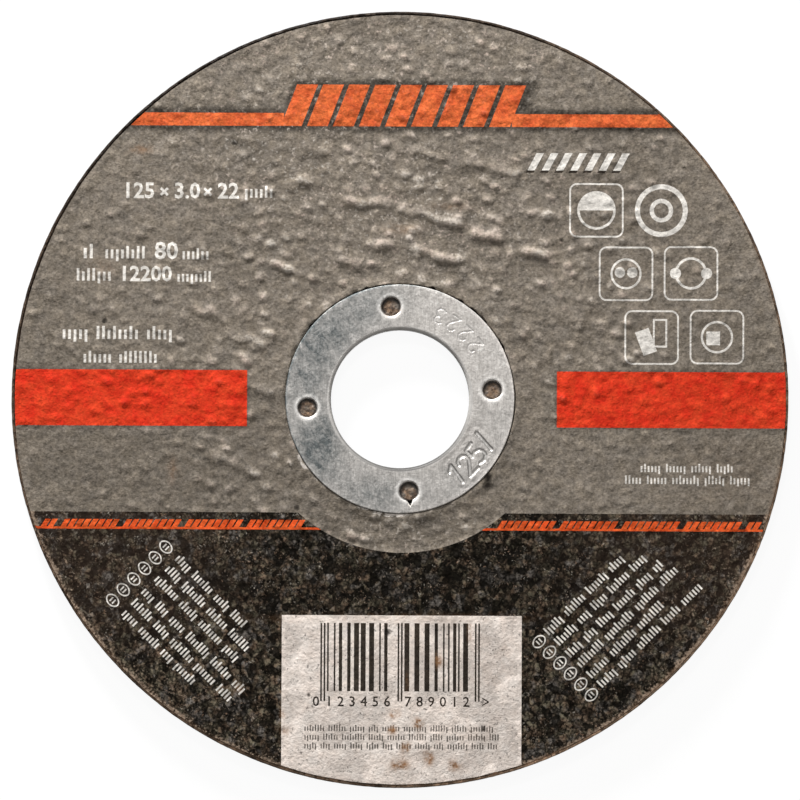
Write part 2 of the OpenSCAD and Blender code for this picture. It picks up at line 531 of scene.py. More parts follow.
def galvanised_steel():
    """Zinc-coated sheet: cloudy patches, fine scratches, a painted dark bluish reflection on one side,
    painted highlights at the hole mouths and stamps, and a dull lip with painted light and shade.
    """
    s = material("galvanised_steel")
    brushed = s.noise(0.11, 2.0, 47.0, s.stretched((1, 12, 1)))
    cloudy = s.noise(1.1, 3.0, 57.0)
    spots = s.noise(0.42, 2.0, 58.0)
    across = s.noise(0.16, 2.0, 53.0, s.stretched((1, 16, 1), math.radians(-55)))
    scratches = s.times(s.map(across, 0.60, 0.68), s.clouds((3.0, 1.0, 54.0), 0.45, 0.6), 0.5)
    streaks = s.noise(0.9, 3.0, 59.0, s.stretched((1, 3.2, 1), math.radians(38)))
    patchy = s.math("ADD", s.times(cloudy, 0.6), s.times(spots, 0.4))
    # painted reflection: patches, mostly at the left, turn dark and bluish, broken up by the zinc's mottling
    # and streaks
    tarnish = s.times(s.attribute("tarnish"), s.map(patchy, 0.36, 0.64, 1.15, 0.65),
                      s.map(streaks, 0.38, 0.70, 1.2, 0.65))
    bright = s.mix(s.map(cloudy, 0.3, 0.7), rgb(0.80, 0.758, 0.716), rgb(0.96, 0.914, 0.868))
    colour = s.mix(tarnish, bright, rgb(0.20, 0.222, 0.226))
    colour = s.scaled(colour, s.map(brushed, 0.3, 0.7, 0.82, 1.16))
    colour = s.scaled(colour, s.map(spots, 0.34, 0.66, 0.86, 1.12))
    colour = s.mix(scratches, colour, rgb(0.80, 0.78, 0.75))
    colour = s.stained(colour, 0.6, 61.0, 0.62)
    # painted highlight: paler metal at the hole mouths and in the stamped strokes
    colour = s.mix(s.times(s.attribute("rubbed"), 0.85), colour, rgb(0.88, 0.86, 0.83))
    # painted light and shade on the bore's lip: a dull colour, paler or darker by side
    dull = s.mix(s.map(cloudy, 0.3, 0.7), rgb(0.46, 0.44, 0.42), rgb(0.58, 0.56, 0.53))
    lip = s.attribute("lip")
    colour = s.mix(lip, colour, s.scaled(dull, s.attribute("lip_tone")))
    height = s.math("ADD", brushed, s.times(spots, 1.4))
    rough = s.math("ADD", s.map(cloudy, 0.3, 0.7, 0.34, 0.48), s.times(s.attribute("edge"), 0.35))
    return s.finish(Base_Color=colour, Metallic=s.map(lip, 0, 1, 1.0, 0.0), Roughness=rough,
                    Normal=s.bump(height, 0.03), Specular_IOR_Level=0.1)


# Relief of the label

CLOTH_PITCH = 2.6
CLOTH_TURN = math.radians(-18)
RELIEF_DEPTH = 0.48
GRAIN_DEPTH = 0.09
PIT_DEPTH = 0.08
DEEPEST = 0.45
TOP_GAP = 0.02
FLAT_LEVEL = 0.22
LABEL_FOOT = FLANGE_BACK
CLEAR_R = 24.75
FIELD_Y = -18.35
PANEL_X = (-19.11, 19.41)
PANEL_TOP = -34.82


def domes(u, v, pitch, size, seed, share):
    """Separate lumps from 0 to 1 high on a share of the places of a loose lattice."""
    gu, gv = u / pitch[0], v / pitch[1]
    iu, iv = np.floor(gu), np.floor(gv)
    highest = np.zeros_like(u)
    for du in (-1, 0, 1):
        for dv in (-1, 0, 1):
            cu, cv = iu + du, iv + dv
            off_u = gu - cu - 0.5 - 0.42 * lattice_value(cu, cv, seed)
            off_v = gv - cv - 0.5 - 0.42 * lattice_value(cu, cv, seed + 1)
            draw = 0.5 + 0.5 * lattice_value(cu, cv, seed + 2)
            tall = np.clip((draw - 1) / share + 1, 0, 1) ** 0.7
            away = (off_u * pitch[0] / size[0]) ** 2 + (off_v * pitch[1] / size[1]) ** 2
            highest = np.maximum(highest, tall * np.exp(-away**1.3))
    return highest


# Folds of the cloth that stand out in the paper: both ends and height
RIDGES = [((-8.6, 31.8), (-6.3, 31.5), 0.9), ((-4.3, 31.8), (-2.0, 31.3), 1.0),
          ((0.0, 30.6), (3.4, 29.9), 1.0), ((4.4, 29.4), (9.6, 28.0), 1.0),
          ((12.2, 26.8), (15.8, 26.1), 1.0), ((20.0, 24.0), (23.8, 22.9), 1.0),
          ((-3.4, 24.8), (-1.6, 24.5), 0.9), ((2.6, 24.2), (8.8, 22.3), 1.0),
          ((10.8, 38.2), (15.2, 37.2), 0.9), ((16.4, 37.0), (18.8, 36.2), 0.8),
          ((-16.2, 35.4), (-13.4, 34.8), 0.9), ((-15.2, 40.6), (-11.6, 39.6), 0.8),
          ((-9.4, 22.6), (-6.4, 21.8), 0.8), ((-20.4, 21.6), (-17.6, 21.0), 0.9),
          ((-25.4, 42.0), (-22.6, 41.4), 0.8), ((-27.5, 10.5), (-22.0, 8.6), 0.7),
          ((-33.0, 14.6), (-28.8, 13.4), 0.6), ((24.6, 14.2), (29.0, 12.6), 0.6),
          ((-30.0, -9.0), (-24.0, -11.2), 0.6), ((2.6, 40.0), (6.6, 38.9), 0.7),
          ((-24.6, 2.4), (-20.4, 0.8), 0.6)]
RIDGE_HALF = 0.85
RIDGE_TROUGH = 1.6

# Spots, each with its middle, its reach both ways and its strength: first where the relief is strong
STRONG = [(5, 28, 34, 18, 1), (-24, 4, 20, 24, 0.7), (26, 8, 16, 14, 0.55), (0, -22, 16, 4, 0.9),
          (0, 56, 34, 8, 0.5)]
# Small pits through the paper
PITS = [(14.2, -12.7, 0.4, 0.7, 1), (14.0, -14.0, 0.75, 0.5, 1), (-16.6, -17.5, 0.35, 0.3, 1),
        (-2.0, -37.5, 0.45, 0.4, 1), (13.4, -53.0, 0.25, 0.25, 1), (-14.6, -47.6, 0.2, 0.2, 1),
        (-26.6, 41.3, 0.4, 0.3, 1), (26.0, 25.6, 0.35, 0.35, 1), (-47.5, 12.6, 0.3, 0.3, 1)]
# Rust spots on the print
RUST_SPOTS = [(-0.8, -50.6, 0.7, 0.6, 2.2), (2.9, -52.0, 0.7, 0.7, 2.2), (6.2, -42.0, 0.5, 0.9, 1.4),
              (0.9, -56.0, 0.6, 0.8, 2.0), (-1.3, -53.2, 0.6, 0.6, 1.6), (0.0, -58.7, 1.5, 0.9, 1.5),
              (4.6, -57.6, 0.7, 1.0, 2.0), (8.6, -58.9, 0.9, 0.8, 1.5), (-18.4, -53.3, 0.6, 0.8, 0.8),
              (-18.8, -50.6, 0.4, 0.9, 0.8), (11.2, -37.5, 0.25, 1.6, 0.8), (1.2, -45.5, 0.3, 1.2, 0.5),
              (14.5, -44.5, 1.6, 2.2, 0.16), (17.0, -40.0, 1.4, 1.8, 0.16),
              (12.0, -54.0, 2.5, 1.2, 0.12), (-41.6, 40.2, 1.6, 0.6, 0.5),
              (-36.5, -11.5, 0.8, 2.0, 0.28), (0.5, 27.3, 3.0, 0.7, 0.25), (8.5, 31.0, 3.0, 0.6, 0.25),
              (-26.0, -46.5, 0.8, 0.8, 0.4), (-48.0, 21.0, 2.2, 1.6, 0.16),
              (54.0, -12.0, 9.0, 8.0, 0.05), (0.0, -35.3, 18.0, 0.6, 0.26)]
# Broad lighter and darker areas of the grey print
TONES = [(-34, -12, 28, 9, -0.17), (37, 34, 13, 10, -0.15), (53, -8, 10, 14, -0.09),
         (-56, 12, 9, 22, -0.12), (-25, 29, 7, 9, -0.12), (34, 8, 12, 14, -0.02), (52, 34, 9, 14, 0.08),
         (32, -12, 16, 7, 0.07), (0, -21, 14, 4, -0.11), (2, 28, 24, 13, -0.04)]
# Where pale flecks are many: near the top and along the folds
FLECKED = [(0, 57, 34, 8, 1), (4, 30, 26, 13, 1), (-22, 40, 16, 8, 1), (0, -21, 14, 4, 1)]
# Where the inner edge is frayed most
FRAYED = [(-16, -10, 4, 5, 1), (-2, -18.5, 6, 3, 1)]


def along_lines(points, lines):
    """Distance from each point to each line piece in turn, with whatever else the line holds."""
    for a, b, *rest in lines:
        a, b = np.array(a), np.array(b)
        t = np.clip(((points - a) @ (b - a)) / ((b - a) @ (b - a)), 0, 1)
        yield np.hypot(*(points - a - t[:, None] * (b - a)).T), *rest


def black_share(x, y):
    """1 over the black field, 0 over the grey."""
    return ramp(FIELD_Y, FIELD_Y - 1, y) * ramp(CLEAR_R - 0.5, CLEAR_R + 0.5, np.hypot(x, y))


def panel_share(x, y):
    """1 over the pale panel, 0 elsewhere."""
    middle, half = np.mean(PANEL_X), np.ptp(PANEL_X) / 2
    return ramp(PANEL_TOP, PANEL_TOP - 1, y) * ramp(half, half - 1, np.abs(x - middle))


def folds(x, y):
    """The raised folds, uneven along their length, from 0 to 1."""
    places = np.column_stack(wavered(x, y, 2.0, 116, 0.4, 0.3))
    uneven = 0.92 + 0.45 * noise(x, y, 1.5, 115)
    highest = np.zeros_like(x)
    for away, tall in along_lines(places, RIDGES):
        highest = np.maximum(highest, tall * uneven * np.exp(-((away / RIDGE_HALF) ** 2)))
    return highest


def cloth_axes(x, y):
    """Places along and across the threads of the cloth."""
    return turned(np.column_stack([x, y]), -CLOTH_TURN).T


def cloth_lumps(x, y):
    """Lumps at the crossings of the cloth, and the folds with a trough below each, about a level of 0."""
    along, across = cloth_axes(*wavered(x, y, 5.0, 101, 0.8, 0.8))
    cloth = domes(along, across, (2.9, CLOTH_PITCH), (0.95, 0.68), 103, 0.9)
    cloth = np.maximum(cloth, 0.5 * domes(along, across, (1.7, 1.5), (0.62, 0.48), 113, 0.85))
    return np.maximum(cloth, folds(x, y)) - 0.6 * folds(x, y + RIDGE_TROUGH)


def label_relief(x, y):
    """Lumps that cloth and grain press into the paper: their height and how strong they are, from 0 to 1."""
    gx, gy = wavered(x, y, 1.1, 126, 0.5, 0.5)
    gravel = domes(gx, gy, (2.0, 2.0), (0.88, 0.92), 123, 1.0)
    gravel = np.maximum(gravel, 0.75 * domes(gx, gy, (1.05, 1.05), (0.46, 0.5), 133, 0.8))
    black, panel = black_share(x, y), panel_share(x, y)
    lumps = FLAT_LEVEL + (1 - FLAT_LEVEL) * (cloth_lumps(x, y) * (1 - black) + gravel * black * (1 - panel))
    lumps += 0.10 * fractal(x, y, 4.5, 106, 2) + 0.55 * panel * fractal(x, y, 3.6, 128, 2)
    strong = (0.5 + 0.5 * np.clip(hills(x, y, STRONG), 0, 1)) * (1 + 0.3 * noise(x, y, 7.0, 110))
    strong = np.clip(strong, 0.2, 1) * (1 - black) + (0.6 - 0.25 * panel) * black
    return np.clip(lumps, 0, 1), strong


def label_pits(x, y):
    return np.clip(hills(x, y, PITS), 0, 1)


def label_height(x, y):
    """Height of the label's face, with its relief, its pits, the lip round the ring and the outer edge."""
    lumps, strong = label_relief(x, y)
    radius = np.hypot(x, y)
    lip = ramp(SEAT_R + 1.6, SEAT_R + 0.3, radius) * (0.6 + 0.4 * noise(x, y, 1.3, 108))
    lip = np.maximum(lip, 0.4 * ramp(LABEL_R - 2.0, LABEL_R - 0.4, radius))
    sunk = RELIEF_DEPTH * strong * (1 - lumps) * (1 - lip)
    grain = GRAIN_DEPTH * (1 - 0.4 * panel_share(x, y))
    sunk += grain * np.clip(0.5 - 0.5 * fractal(x, y, 1.7, 105, 2), 0, 1) + PIT_DEPTH * label_pits(x, y)
    return FACE_Z - TOP_GAP - np.clip(sunk, 0, DEEPEST)


def label_torn(x, y):
    """Where the paper's inner edge is frayed."""
    edge = ramp(SEAT_R + 1.0, SEAT_R + 0.25, np.hypot(x, y))
    return edge * (0.68 + 0.32 * np.clip(hills(x, y, FRAYED), 0, 1))


def worn_side(x, y):
    """How worn the cutting edge is: most at the right and the bottom, least at the upper left."""
    return ramp(-1.1, 0.8, (0.45 * x - 0.9 * y) / np.hypot(x, y))


def label_stain(x, y):
    """How brown the paper is: spots, and a tinge along the cutting edge."""
    edge = ramp(LABEL_R - 0.7, LABEL_R, np.hypot(x, y)) * (0.55 + 0.45 * noise(x, y, 7.0, 107))
    return np.clip(hills(x, y, RUST_SPOTS) + 0.3 * edge * worn_side(x, y), 0, 1)


def label_worn(x, y):
    """How far the black ink is rubbed off towards the cutting edge."""
    radius = np.hypot(x, y)
    near = 0.22 * ramp(LABEL_R - 14, LABEL_R - 2, radius)
    near += 0.72 * ramp(LABEL_R - 0.95, LABEL_R - 0.2, radius)
    return np.clip(near * (0.9 + 0.4 * noise(x, y, 3.0, 114)), 0, 1)


def label_tone(x, y):
    """Broad lighter and darker areas of the print, about 1."""
    grey = 0.99 + 0.10 * ramp(LABEL_R - 2.0, LABEL_R - 0.6, np.hypot(x, y)) + hills(x, y, TONES)
    black = black_share(x, y)
    return grey * (1 - black) + (1 + 0.55 * ramp(-30, -45, y)) * black


def label_thin(x, y):
    """How thin the black ink is: most at both ends of the field."""
    return ramp(18, 42, np.abs(x)) * ramp(-45, -32, y)


def label_flecked(x, y):
    """How many pale flecks the print has."""
    return 0.12 + 0.75 * np.clip(hills(x, y, FLECKED), 0, 1)


# Print on the label: simple shapes in the print's own frame, a little turned and off centre

PRINT_TURN = math.radians(-0.27)
PRINT_SHIFT = np.array([0.32, 0.02])
PAPER, BLACK, RED, ORANGE, STRIP, WHITE, PANEL, DARK, FADED = range(9)
FAR = 64.0
STRIPE_Y = (43.88, 45.97)
STRIPE_BORDER = 1.0
HATCH_X = (-19.7, 18.0)
HATCH_TOP = 50.6
HATCH_LEAN = 2.6
HATCH_BARS = 9
THIN_Y = (-21.11, -19.55)
THIN_LINE = 0.35
RED_HALF = 4.51
RED_INNER = 24.9
RED_BORDER = 0.35


def label_shade(x, y):
    """The soft dark border round the top stripe and its block, and along the red bars, from 0 to 1."""
    x, y = turned(np.column_stack([x, y]) - PRINT_SHIFT, -PRINT_TURN).T
    off_red = np.hypot(np.maximum(np.abs(y) - RED_HALF, 0), np.maximum(RED_INNER - np.abs(x), 0))
    low, high = STRIPE_Y
    lean = HATCH_LEAN * (y - low) / (HATCH_TOP - low)
    off_band = np.maximum(low - y, y - high)
    off_block = np.maximum.reduce([HATCH_X[0] + lean - x, x - HATCH_X[1] - lean, y - HATCH_TOP, low - y])
    off = np.maximum(np.minimum(off_band, off_block), 0)
    return np.maximum(np.exp(-((off / STRIPE_BORDER) ** 3)), 0.5 * np.exp(-((off_red / RED_BORDER) ** 2)))


class Print:
    """Shapes in the order in which they are printed, each with its ink."""

    def __init__(self):
        self.shapes = []

    def shape(self, ink, *loops):
        self.shapes.append((ink, [np.asarray(loop, float) for loop in loops]))

    def slanted(self, ink, x0, y0, x1, y1, lean):
        """A bar whose top is shifted sideways by lean."""
        self.shape(ink, [(x0, y0), (x1, y0), (x1 + lean, y1), (x0 + lean, y1)])

    def ring(self, ink, middle, outer, inner, count):
        """The band between two circles."""
        self.shape(ink, circle(outer, count, middle), circle(inner, count, middle))


def round_box(middle, half, corner, steps=6):
    """A square with rounded corners."""
    loop = []
    for quarter in range(4):
        turn = quarter * math.pi / 2
        centre = turned([(half - corner, half - corner)], turn, middle)[0]
        for i in range(steps + 1):
            t = turn + i * math.pi / 2 / steps
            loop.append((centre[0] + corner * math.cos(t), centre[1] + corner * math.sin(t)))
    return np.array(loop)


def numerals(text, height, start, weight=0.022, spacing=1.0):
    """Outlines of plain numbers in Blender's own font, with their left end at start."""
    curve = bpy.data.curves.new("numerals", "FONT")
    curve.body = text
    curve.resolution_u = 2
    curve.offset = weight
    curve.space_character = spacing
    holder = bpy.data.objects.new("numerals", curve)
    work = bmesh.new()
    work.from_mesh(holder.to_mesh())
    bmesh.ops.remove_doubles(work, verts=work.verts, dist=1e-5)
    ends = {}
    for edge in work.edges:
        if edge.is_boundary:
            a, b = edge.verts
            ends.setdefault(a.index, []).append(b.index)
            ends.setdefault(b.index, []).append(a.index)
    places = np.array([v.co[:2] for v in work.verts])
    work.free()
    loops, seen = [], set()
    for first in sorted(ends):
        if first in seen:
            continue
        walk, last, here = [], None, first
        while here not in seen:
            seen.add(here)
            walk.append(here)
            onward = [n for n in ends[here] if n != last]
            last, here = here, onward[0]
        loops.append(places[walk])
    bpy.data.objects.remove(holder)
    bpy.data.curves.remove(curve)
    top = max(loop[:, 1].max() for loop in loops)
    left = min(loop[:, 0].min() for loop in loops)
    return [(loop - (left, 0)) * height / top + start for loop in loops]


def word_bars(page, ink, start, length, height, angle=0.0, seed=1, longest=7):
    """A line of small upright bars of differing heights, in groups of about the longest count."""
    step = 0.42 * height
    width = 0.21 * height
    x, count, word = 0.0, 0, 0
    while x + width <= length:
        draw = float(lattice_value(np.array([count]), np.array([seed]), 201)[0])
        tall = 1.0 if draw > 0.35 else 0.72
        low = -0.22 if draw < -0.72 else 0.0
        bar = box_loop(x, low * height, x + width, tall * height)
        page.shape(ink, turned(bar, angle, start))
        count += 1
        word += 1
        x += step
        if word > longest + 4 * draw:
            word = 0
            x += 0.5 * height
            if length - x < 2.5 * step:
                break


def print_fields(page):
    """The large fields of colour, from the lowest ink up."""
    page.shape(BLACK, box_loop(-FAR, -FAR, FAR, FIELD_Y))
    page.shape(STRIP, box_loop(-FAR, THIN_Y[0], FAR, THIN_Y[0] + THIN_LINE))
    page.shape(PAPER, circle(CLEAR_R, 240))
    for side in (-1, 1):
        inner, outer = sorted((side * RED_INNER, side * FAR))
        page.shape(RED, box_loop(inner, -RED_HALF, outer, RED_HALF))


def print_thin_hatch(page):
    """Groups of small slanted bars along the top of the black field."""
    bar, gap, lean, group = 0.88, 0.25, 0.75, 8
    for side in (-1, 1):
        x = 15.4
        count = 0
        while x < 57:
            left = x if side > 0 else -x - bar - lean
            page.slanted(STRIP, left, THIN_Y[0] + THIN_LINE, left + bar, THIN_Y[1], lean)
            count += 1
            x += bar + gap + (0.9 if count % group == 0 else 0)


def print_top_stripe(page):
    """The orange stripe with a block of slanted bars in it."""
    low, high = STRIPE_Y
    left, right = HATCH_X
    page.shape(ORANGE, box_loop(-FAR, low, left + 0.5, high))
    page.shape(ORANGE, box_loop(right - 0.5, low, FAR, high))
    pitch = (right - left) / HATCH_BARS
    for i in range(HATCH_BARS):
        x = left + i * pitch
        page.slanted(ORANGE, x, low, x + 0.8 * pitch, HATCH_TOP, HATCH_LEAN)


def print_signs(page):
    """Rounded frames with plain marks in them."""
    half, corner, line = 4.38, 1.25, 0.28
    signs = np.array([(31.15, 30.5), (35.95, 20.3), (46.4, 20.4), (40.1, 10.05), (50.6, 10.15)])
    for middle in signs:
        page.shape(WHITE, round_box(middle, half, corner), round_box(middle, half - line, corner - line))
    page.ring(WHITE, signs[0], 3.1, 2.7, 48)
    page.shape(WHITE, circle(3.1, 48)[:25] + signs[0])
    page.ring(WHITE, signs[1], 2.5, 2.15, 40)
    page.ring(WHITE, signs[2], 2.6, 2.2, 40)
    for side in (-1, 1):
        page.shape(WHITE, circle(0.85, 24, signs[1] + (side * 1.0, 0.2)))
        page.shape(WHITE, circle(0.9, 24, signs[2] + (side * 2.5, 0)))
    page.shape(WHITE, turned(box_loop(-1.15, -2.0, 1.15, 2.0), 0.35, signs[3] + (-0.9, -0.7)))
    page.shape(WHITE, box_loop(0.2, -1.6, 2.5, 3.0) + signs[3], box_loop(0.5, -1.3, 2.2, 2.7) + signs[3])
    page.ring(WHITE, signs[4], 2.6, 2.25, 40)
    page.shape(WHITE, box_loop(-1.7, -1.3, 0.5, 0.9) + signs[4])
    page.ring(WHITE, (41.6, 30.5), 4.25, 3.45, 64)
    page.ring(WHITE, (41.6, 30.5), 1.9, 1.2, 40)


def print_figures(page):
    """Plain size numbers in white, with lines of small bars beside them."""
    for text, x in (("125", -44.5), ("3.0", -36.7), ("22", -29.8)):
        page.shape(WHITE, *numerals(text, 2.5, (x, 32.2)))
    for x in (-38.4, -31.4):
        for lean in (-1, 1):
            page.shape(WHITE, turned(box_loop(-0.8, -0.2, 0.8, 0.2), lean * math.pi / 4, (x, 33.2)))
    words = [((-25.4, 32.3), 4.6, 1.9), ((-51.3, 22.4), 2.4, 2.3), ((-47.8, 22.4), 6.8, 2.0),
             ((-35.4, 22.3), 4.5, 1.8), ((-52.4, 18.8), 5.9, 2.0), ((-36.2, 18.7), 5.4, 1.7)]
    for i, (start, length, height) in enumerate(words):
        word_bars(page, WHITE, start, length, height, seed=40 + i, longest=99)
    page.shape(WHITE, *numerals("80", 2.75, (-39.9, 22.4)))
    page.shape(WHITE, *numerals("12200", 2.45, (-45.0, 18.8)))
    notes = [((-54.6, 9.4), 18.2, 2.1), ((-51.2, 5.6), 12.4, 1.9),
             ((38.4, -11.6), 14.8, 1.35), ((35.9, -13.5), 20.2, 1.35)]
    for i, (start, length, height) in enumerate(notes):
        word_bars(page, WHITE, start, length, height, seed=6 + i)
    for i in range(7):
        x = 20.0 + i * 2.3
        page.slanted(DARK, x - 0.3, 36.5, x + 1.0, 39.2, 1.5)
        page.slanted(WHITE, x, 36.9, x + 1.2, 39.7, 1.5)


# Slanted lines of small bars: start of the line and its length
LEFT_LINES = [((-36.4, -26.1), 15.6), ((-38.0, -27.8), 20.4), ((-39.7, -29.4), 20.2),
              ((-41.8, -31.4), 24.0), ((-43.4, -33.2), 22.6), ((-44.9, -34.9), 18.0)]
RIGHT_LINES = [((23.8, -37.9), 18.6), ((25.5, -39.6), 20.0), ((27.3, -41.5), 21.2),
               ((29.0, -43.1), 23.8), ((30.7, -44.8), 16.8), ((32.4, -46.3), 23.2)]
LEFT_MARKS = ((-37.8, -24.0), (-46.3, -32.6))
RIGHT_MARKS = ((22.2, -38.9), (30.6, -47.4))


def print_slanted_lines(page):
    """Six lines of small bars on each side of the black field, each led by a small oval."""
    sides = [(LEFT_LINES, LEFT_MARKS, -math.pi / 4, 10), (RIGHT_LINES, RIGHT_MARKS, math.pi / 4, 20)]
    oval = circle(1.0, 28) * (1.22, 0.92)
    hollow = oval - np.sign(oval) * 0.17
    for lines, (first, last), angle, seed in sides:
        for i, (start, length) in enumerate(lines):
            word_bars(page, WHITE, start, length, 1.45, angle, seed + i)
            share = i / (len(lines) - 1)
            middle = np.array(first) * (1 - share) + np.array(last) * share
            page.shape(WHITE, turned(oval, angle, middle), turned(hollow, angle, middle))
            for x in (-0.40, 0.16):
                page.shape(WHITE, turned(box_loop(x, -0.42, x + 0.24, 0.42), angle, middle))


BARS_X = (-12.9, 12.7)
BARS_TOP = -36.05
BARS_LOW = -47.0
GUARD_LOW = -48.6
BAR_UNITS = 95
BAR_GUARDS = (0, 2, 46, 48, 92, 94)
# The small arrow at the end of the row of numbers
ARROW = [(13.1, -47.95), (14.2, -48.55), (14.2, -48.7), (13.1, -49.3), (13.1, -49.1), (13.9, -48.62),
         (13.1, -48.15)]


def print_panel(page):
    """The pale panel with its upright bars, a row of numbers and three lines of small bars."""
    page.shape(PANEL, box_loop(PANEL_X[0], -FAR, PANEL_X[1], PANEL_TOP))
    unit = (BARS_X[1] - BARS_X[0]) / BAR_UNITS

    def upright(place, wide, low):
        x = BARS_X[0] + place * unit
        page.shape(DARK, box_loop(x, low, x + wide * unit, BARS_TOP))

    for place in BAR_GUARDS:
        upright(place, 1, GUARD_LOW)
    place, count = 4, 0
    while place < 91:
        draws = lattice_value(np.array([count, count]), np.array([3, 4]), 307)
        wide, gap = 1 + ((draws + 1) * 1.49).astype(int)
        if place + wide < 45 or (place > 49 and place + wide < 91):
            upright(place, wide, BARS_LOW)
        place += wide + gap
        count += 1
    for text, x in (("0", -14.1), ("123456", -11.6), ("789012", 0.7)):
        page.shape(DARK, *numerals(text, 1.6, (x, -49.4), weight=0.012, spacing=1.65))
    page.shape(DARK, ARROW)
    for i, y in enumerate((-53.4, -54.8, -56.2)):
        word_bars(page, FADED, (-15.4, y), 31.2, 1.0, seed=30 + i)


def print_sheet():
    """Everything printed, moved to its place on the wheel."""
    page = Print()
    print_fields(page)
    print_thin_hatch(page)
    print_top_stripe(page)
    print_signs(page)
    print_figures(page)
    print_slanted_lines(page)
    print_panel(page)
    return [(ink, [turned(loop, PRINT_TURN, PRINT_SHIFT) for loop in loops]) for ink, loops in page.shapes]


# The label

PAPER_STEP = 0.42
OUTLINE_STEP = 0.4
EDGE_GAP = 0.12
EDGE_TUCK = 0.13
TUCK_DROP = 0.14
EDGE_COUNT = 980
PAPER_INNER = SEAT_R + 0.2
PAPER_OUTER = LABEL_R - 0.25


def clipped_runs(loop, inner, outer):
    """The stretches of a closed loop that lie between two radii."""
    keep = between(loop, inner, outer)
    if keep.all():
        return [(loop, True)]
    first = int(np.flatnonzero(~keep)[0])
    runs = [[]]
    for point, kept in zip(np.roll(loop, -first, axis=0), np.roll(keep, -first)):
        if kept:
            runs[-1].append(point)
        elif runs[-1]:
            runs.append([])
    return [(np.array(run), False) for run in runs if len(run) > 1]


def label_inks():
    """The label's materials, in the order of the inks' numbers."""
    return [
        printed_paper("label_paper", rgb(0.196, 0.165, 0.130), rgb(0.182, 0.157, 0.130), 0.42, 0.22, 0.8,
                      shadow=0.80),
        black_print(),
        printed_paper("label_red", rgb(0.58, 0.027, 0.010), rgb(0.64, 0.052, 0.016), 0.20, 0.10, 0.05),
        printed_paper("label_orange", rgb(0.51, 0.085, 0.026), rgb(0.61, 0.132, 0.038), 0.34, 0.14, 0.10),
        printed_paper("label_strip", rgb(0.62, 0.070, 0.014), rgb(0.70, 0.115, 0.026), 0.25, 0.15, 0.05),
        printed_paper("label_white", rgb(0.69, 0.655, 0.605), rgb(0.63, 0.595, 0.545), 0.18, 0.12, 0.1),
        printed_paper("label_panel", rgb(0.79, 0.712, 0.65), rgb(0.76, 0.66, 0.588), 0.14, 0.12, 0.1,
                      specks=0.4),
        printed_paper("label_dark_ink", rgb(0.030, 0.024, 0.019), rgb(0.044, 0.034, 0.026), 0.4, 0.25, 0.2),
        printed_paper("label_faded_ink", rgb(0.12, 0.105, 0.092), rgb(0.20, 0.175, 0.155), 0.4, 0.25, 0.2),
    ]


def label_edges():
    """The ruffled outer and inner edges of the paper."""
    turn = around(EDGE_COUNT)
    edge_r = LABEL_R - 0.06 + 0.05 * noise(turn * 60, turn * 0, 2.5, 111)
    edge_r -= 0.19 * ramp(0.2, 0.7, 0.87 * np.sin(turn) - 0.5 * np.cos(turn))
    edge_r -= 0.18 * ramp(0.8, 0.96, -np.sin(turn))
    inner = circle(SEAT_R, EDGE_COUNT // 2)
    nibbled = np.clip(noise(*inner.T, 0.9, 112) - 0.2, 0, 1) * ramp(-12, 12, inner[:, 1])
    return polar(turn, edge_r), inner * (1 + 0.4 * nibbled[:, None] / SEAT_R)


def make_label():
    shapes = print_sheet()
    outer, inner = label_edges()
    lines = []
    for _, loops in shapes:
        for loop in loops:
            lines += clipped_runs(divided(loop, OUTLINE_STEP), PAPER_INNER, PAPER_OUTER)
    drawn = np.vstack([inner, outer] + [points for points, _ in lines])
    grid = hex_grid(LABEL_R, PAPER_STEP)
    grid = clear_of(grid[between(grid, PAPER_INNER, PAPER_OUTER)], drawn, EDGE_GAP)
    flat, triangles = triangulate([outer, inner], lines, grid)
    middles = flat[triangles].mean(axis=1)
    inks = np.full(len(triangles), PAPER)
    for ink, loops in shapes:
        inks[inside_loops(middles, loops)] = ink
    patches = Patches()
    patches.flat(flat, triangles, label_height(*flat.T), inks)
    patches.strip([lifted(outer, label_height(*outer.T)), lifted(outer, LABEL_FOOT)], PAPER)
    inner_z = label_height(*inner.T)
    closed = ramp(-8, 12, -0.7 * inner[:, 0] - 0.7 * inner[:, 1])
    tucked = inner * (1 - EDGE_TUCK * (1 + 0.6 * closed[:, None]) / SEAT_R)
    tuck = [lifted(inner, inner_z), lifted(tucked, inner_z - TUCK_DROP), lifted(tucked, LABEL_FOOT)]
    patches.strip(tuck, PAPER)
    patches.flat(*triangulate([outer, tucked]), LABEL_FOOT, PAPER)
    piece = patches.build("printed_label", label_inks(), math.radians(40))
    x, y = places_of(piece).T
    lumps, strong = label_relief(x, y)
    store(piece, crest=lumps * strong - 1.5 * label_pits(x, y), stain=label_stain(x, y),
          torn=label_torn(x, y), tone=label_tone(x, y), shade=label_shade(x, y), worn=label_worn(x, y),
          flecked=label_flecked(x, y), thin=label_thin(x, y))
    return piece


# The abrasive disc

RIM_COUNT = 1080
SEAT_COUNT = 240
PLUG_COUNT = 48
RIM_TOP = DISC_TOP - 0.2
RIM_MIDDLE_R = WHEEL_R - RIM_R
BACK_STEP = 0.6
PLUG_STEP = 0.14
NET_DEPTH = 0.14
BACK, FILLING = 1, 2


def net_thread(x, y):
    """How much thread there is at each point of the back's glass net, from 0 to 1, and its height."""
    u, v = cloth_axes(*wavered(x, y, 9.0, 121, 0.35, 0.35)) / CLOTH_PITCH
    over = np.cos(math.pi * np.round(u)) * np.cos(math.pi * np.round(v))
    warp = np.clip(np.cos(TAU * u) * 1.3, 0, 1)
    weft = np.clip(np.cos(TAU * v) * 1.3, 0, 1)
    height = np.maximum(warp * (0.7 + 0.3 * over), weft * (0.7 - 0.3 * over))
    return np.maximum(warp, weft), height


